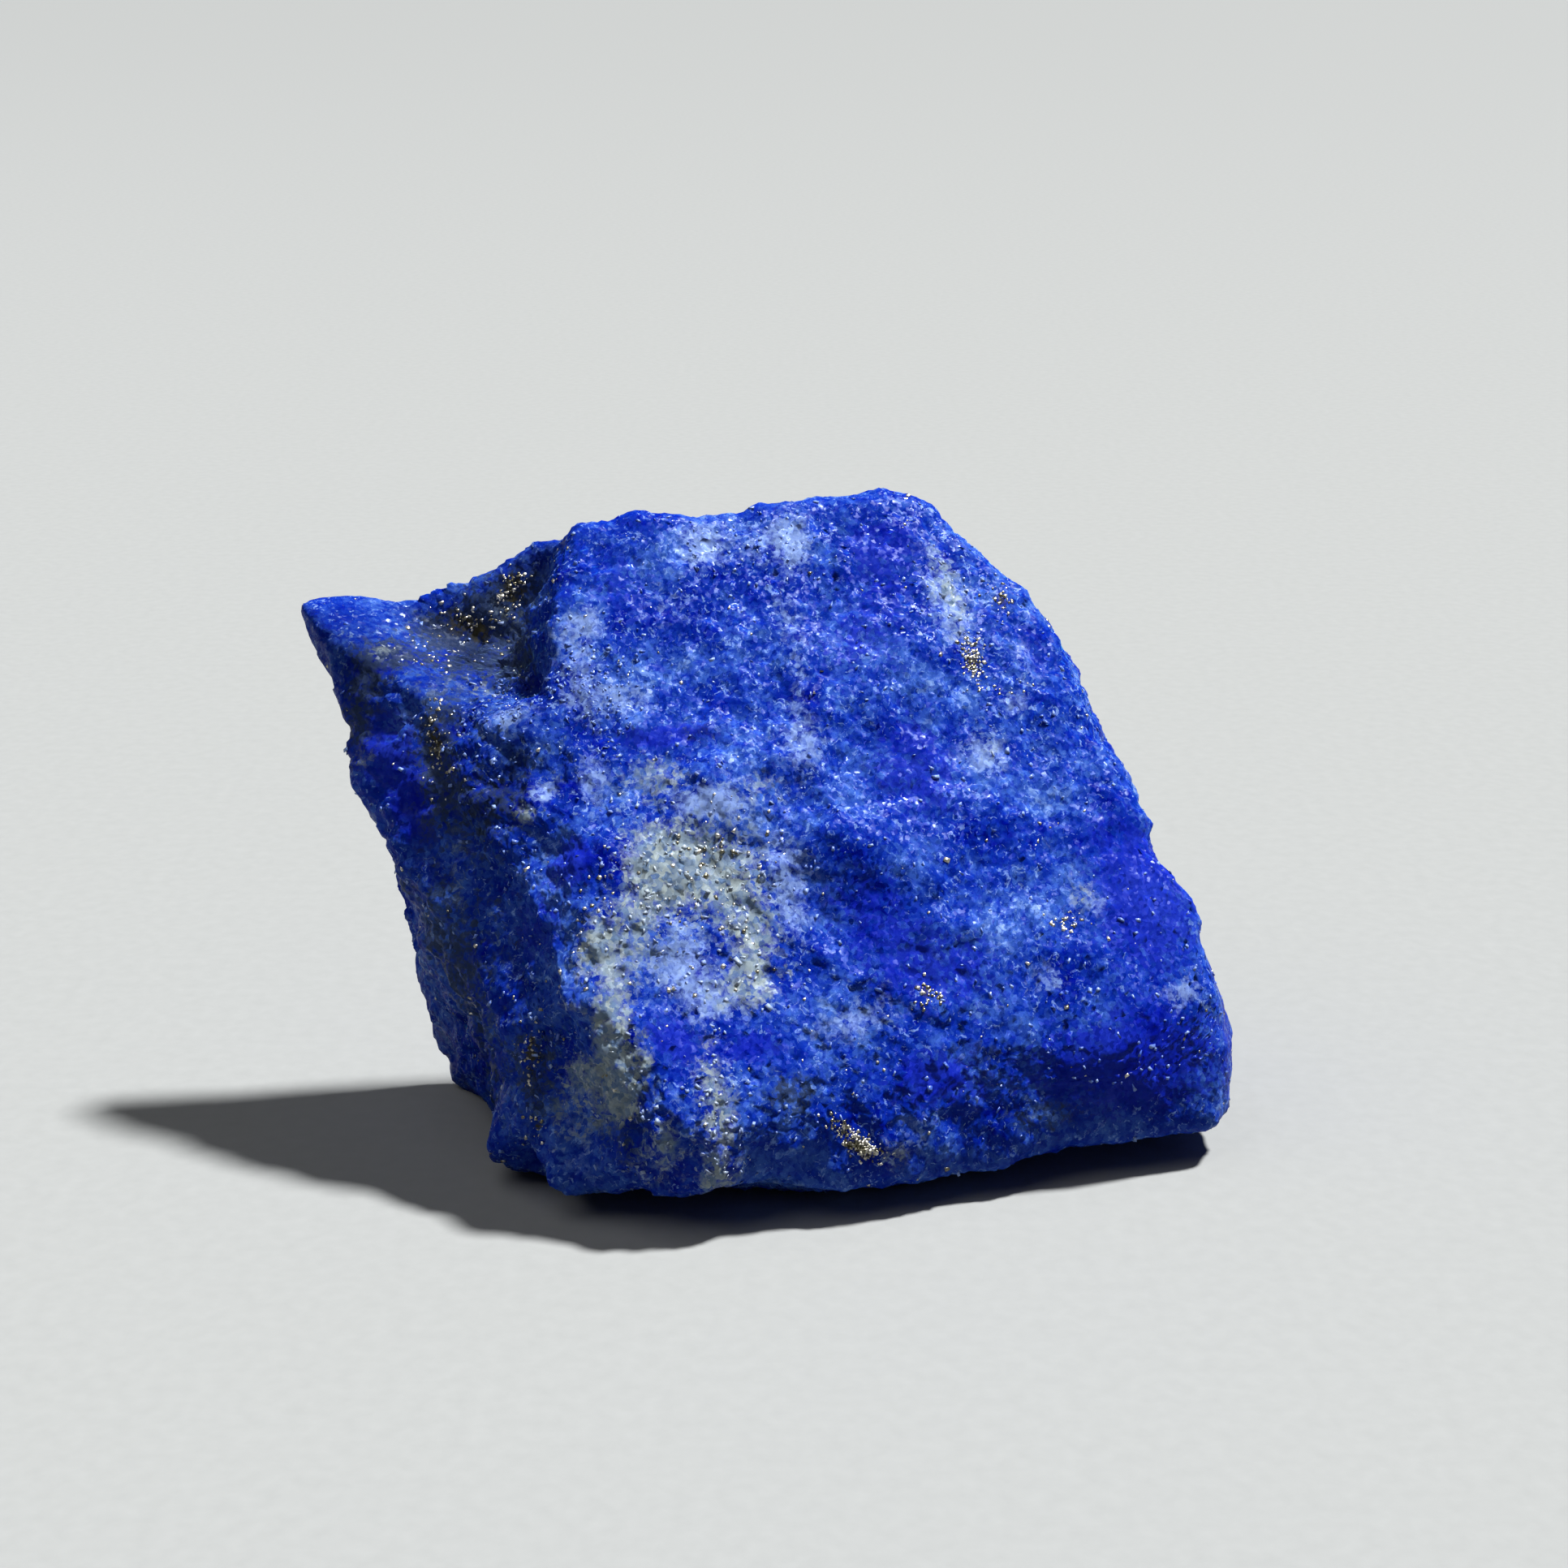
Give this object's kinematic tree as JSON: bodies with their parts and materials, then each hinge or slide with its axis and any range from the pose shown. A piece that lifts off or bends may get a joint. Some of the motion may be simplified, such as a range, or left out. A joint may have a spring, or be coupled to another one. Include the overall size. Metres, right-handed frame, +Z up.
{
  "type": "lapis lazuli specimen",
  "caption": "Rough broken chunk of deep blue lapis lazuli with pale calcite patches and gold pyrite flecks, standing on its flat broken base.",
  "frame": {"origin": "centre of the footprint, on the surface that the stone stands on", "axes": "+Z up, +X to the right along the stone's long side, with the broad sloping front face towards -Y"},
  "size_m": [0.0332, 0.0186, 0.021],
  "materials": {
    "lapis": "rough broken stone, sugary grain"
  },
  "bodies": {
    "root": {"lapis_stone": "lapis"}
  },
  "joints": []
}
